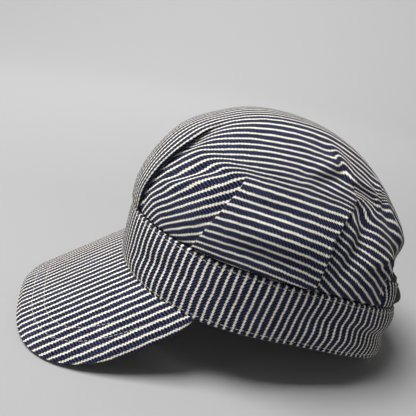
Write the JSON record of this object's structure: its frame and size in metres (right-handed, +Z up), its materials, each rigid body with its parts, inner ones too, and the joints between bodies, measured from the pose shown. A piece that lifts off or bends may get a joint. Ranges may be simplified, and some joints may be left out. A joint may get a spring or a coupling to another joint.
{
  "type": "railroad engineer cap",
  "caption": "Pleated striped cloth cap with a drooping curved visor, a wide band and a strapped half-moon opening at the back.",
  "frame": {"origin": "centre of the bounding box at its lowest level, where the visor's lower edges and the back of the band rest", "axes": "+Z up, -Y towards the visor, +X towards the wearer's left"},
  "size_m": [0.1722, 0.2666, 0.1563],
  "materials": {
    "striped_cloth": "indigo and cream hickory stripe cotton twill",
    "black_webbing": "woven black elastic webbing"
  },
  "bodies": {
    "root": {"crown": "striped_cloth", "band": "striped_cloth", "visor": "striped_cloth", "left_strap_tab": "striped_cloth", "right_strap_tab": "striped_cloth", "back_strap": "black_webbing"}
  },
  "joints": []
}
